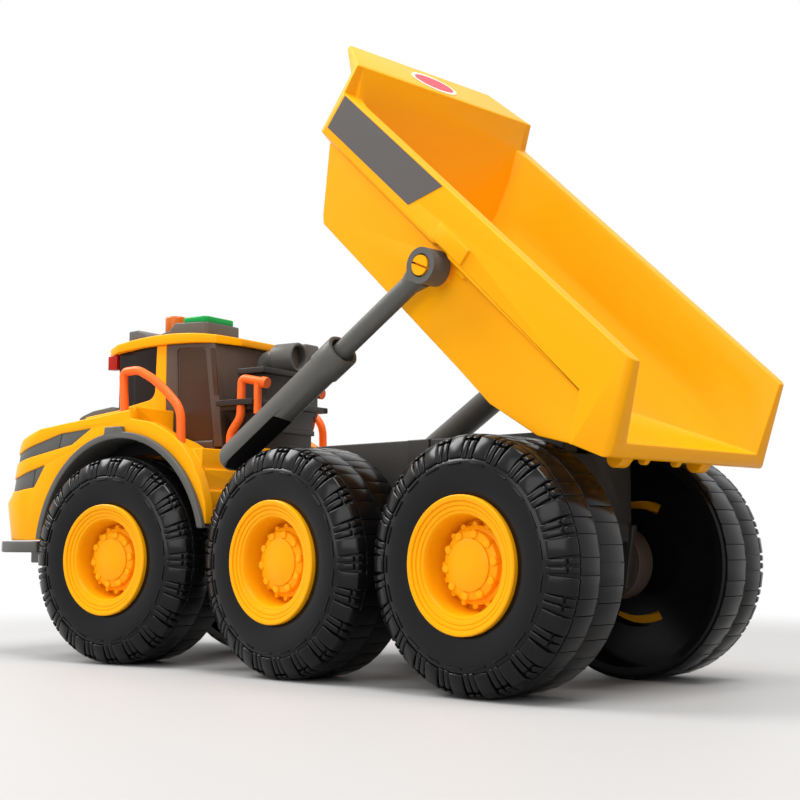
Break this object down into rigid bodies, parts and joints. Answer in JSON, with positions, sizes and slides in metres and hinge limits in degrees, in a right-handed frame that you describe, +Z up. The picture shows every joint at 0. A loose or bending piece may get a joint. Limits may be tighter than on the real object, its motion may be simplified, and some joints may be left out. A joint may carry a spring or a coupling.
{
  "type": "toy articulated dump truck",
  "caption": "Toy articulated dump truck: hinged front unit with an open-windowed cab, tipping bed on twin hoist cylinders, and wheels that roll.",
  "frame": {"origin": "on the ground, below the middle of the model's bounding box as stored (bed tipped, front unit turned)", "axes": "+X forwards along the rear unit, towards the cab; +Y to the truck's left; +Z up"},
  "size_m": [0.2845, 0.11, 0.1948],
  "materials": {
    "yellow_plastic": "satin moulded plastic, warm yellow",
    "dark_grey_plastic": "satin moulded plastic, dark grey",
    "axle_grey": "matt moulded plastic, brown-grey",
    "tyre_black": "glossy black moulded plastic",
    "cab_glass": "smoked clear plastic",
    "rail_orange": "satin orange-yellow plastic",
    "button_green": "satin green plastic",
    "beacon_orange": "clear orange plastic",
    "lamp_red": "clear red plastic"
  },
  "bodies": {
    "rear_unit": {"rear_frame": "dark_grey_plastic", "axle_rear": "axle_grey", "axle_mid": "axle_grey"},
    "front_unit": {"axle_front": "axle_grey", "front_frame": "dark_grey_plastic", "body_shell": "yellow_plastic", "cab": "dark_grey_plastic", "windscreen_frame": "yellow_plastic", "cab_glass": "cab_glass", "roof": "yellow_plastic", "roof_module": "dark_grey_plastic", "button": "button_green", "beacon": "beacon_orange", "rear_deck": "dark_grey_plastic", "air_cleaner": "dark_grey_plastic", "bumper": "dark_grey_plastic", "flare_l": "dark_grey_plastic", "flare_r": "dark_grey_plastic", "handrail_front_l": "rail_orange", "handrail_front_r": "rail_orange", "handrail_rear_l": "rail_orange", "handrail_rear_r": "rail_orange", "marker_lamp_l": "lamp_red", "marker_lamp_r": "lamp_red", "hood_vent": "dark_grey_plastic", "grille_l": "dark_grey_plastic", "grille_r": "dark_grey_plastic"},
    "bed": {"bed": "yellow_plastic"},
    "barrel_l": {"barrel_l": "dark_grey_plastic"},
    "rod_l": {"rod_l": "dark_grey_plastic", "hoist_pin_l": "yellow_plastic"},
    "barrel_r": {"barrel_r": "dark_grey_plastic"},
    "rod_r": {"rod_r": "dark_grey_plastic", "hoist_pin_r": "yellow_plastic"},
    "wheel_rear_l": {"tyre_rear_l": "tyre_black", "rim_rear_l": "yellow_plastic"},
    "wheel_rear_r": {"tyre_rear_r": "tyre_black", "rim_rear_r": "yellow_plastic"},
    "wheel_mid_l": {"tyre_mid_l": "tyre_black", "rim_mid_l": "yellow_plastic"},
    "wheel_mid_r": {"tyre_mid_r": "tyre_black", "rim_mid_r": "yellow_plastic"},
    "wheel_front_l": {"tyre_front_l": "tyre_black", "rim_front_l": "yellow_plastic"},
    "wheel_front_r": {"tyre_front_r": "tyre_black", "rim_front_r": "yellow_plastic"}
  },
  "joints": [
    {"name": "steer", "type": "hinge", "parent": "rear_unit", "child": "front_unit", "pos_m": [0.0455, -0.00393, 0.057], "axis": [0, 0, 1], "range_deg": [-30, 9.5]},
    {"name": "bed_tip", "type": "hinge", "parent": "rear_unit", "child": "bed", "pos_m": [-0.0998, -0.00393, 0.073], "axis": [0, 1, 0], "range_deg": [0, 42.25]},
    {"name": "barrel_l_swing", "type": "hinge", "parent": "rear_unit", "child": "barrel_l", "pos_m": [0.0067, 0.03837, 0.0682], "axis": [0, 1, 0], "range_deg": [-10.2, 0.2]},
    {"name": "rod_l_slide", "type": "slide", "parent": "barrel_l", "child": "rod_l", "axis": [-0.8579, 0, 0.5139], "range_m": [-0.0345, 0.0005]},
    {"name": "barrel_r_swing", "type": "hinge", "parent": "rear_unit", "child": "barrel_r", "pos_m": [0.0067, -0.04623, 0.0682], "axis": [0, 1, 0], "range_deg": [-10.2, 0.2]},
    {"name": "rod_r_slide", "type": "slide", "parent": "barrel_r", "child": "rod_r", "axis": [-0.8579, 0, 0.5139], "range_m": [-0.0345, 0.0005]},
    {"name": "wheel_rear_l_spin", "type": "hinge", "parent": "rear_unit", "child": "wheel_rear_l", "pos_m": [-0.0948, -0.00393, 0.035], "axis": [0, 1, 0], "continuous": true},
    {"name": "wheel_rear_r_spin", "type": "hinge", "parent": "rear_unit", "child": "wheel_rear_r", "pos_m": [-0.0948, -0.00393, 0.035], "axis": [0, 1, 0], "continuous": true},
    {"name": "wheel_mid_l_spin", "type": "hinge", "parent": "rear_unit", "child": "wheel_mid_l", "pos_m": [-0.0201, -0.00393, 0.035], "axis": [0, 1, 0], "continuous": true},
    {"name": "wheel_mid_r_spin", "type": "hinge", "parent": "rear_unit", "child": "wheel_mid_r", "pos_m": [-0.0201, -0.00393, 0.035], "axis": [0, 1, 0], "continuous": true},
    {"name": "wheel_front_l_spin", "type": "hinge", "parent": "front_unit", "child": "wheel_front_l", "pos_m": [0.06929, 0.00048, 0.035], "axis": [-0.1822, 0.9833, 0], "continuous": true},
    {"name": "wheel_front_r_spin", "type": "hinge", "parent": "front_unit", "child": "wheel_front_r", "pos_m": [0.06929, 0.00048, 0.035], "axis": [-0.1822, 0.9833, 0], "continuous": true}
  ],
  "couplings": [
    {"joint": "barrel_l_swing", "follows": "bed_tip", "ratio": -0.2355},
    {"joint": "rod_l_slide", "follows": "bed_tip", "m_per_rad": -0.045972},
    {"joint": "barrel_r_swing", "follows": "bed_tip", "ratio": -0.2355},
    {"joint": "rod_r_slide", "follows": "bed_tip", "m_per_rad": -0.045972}
  ]
}
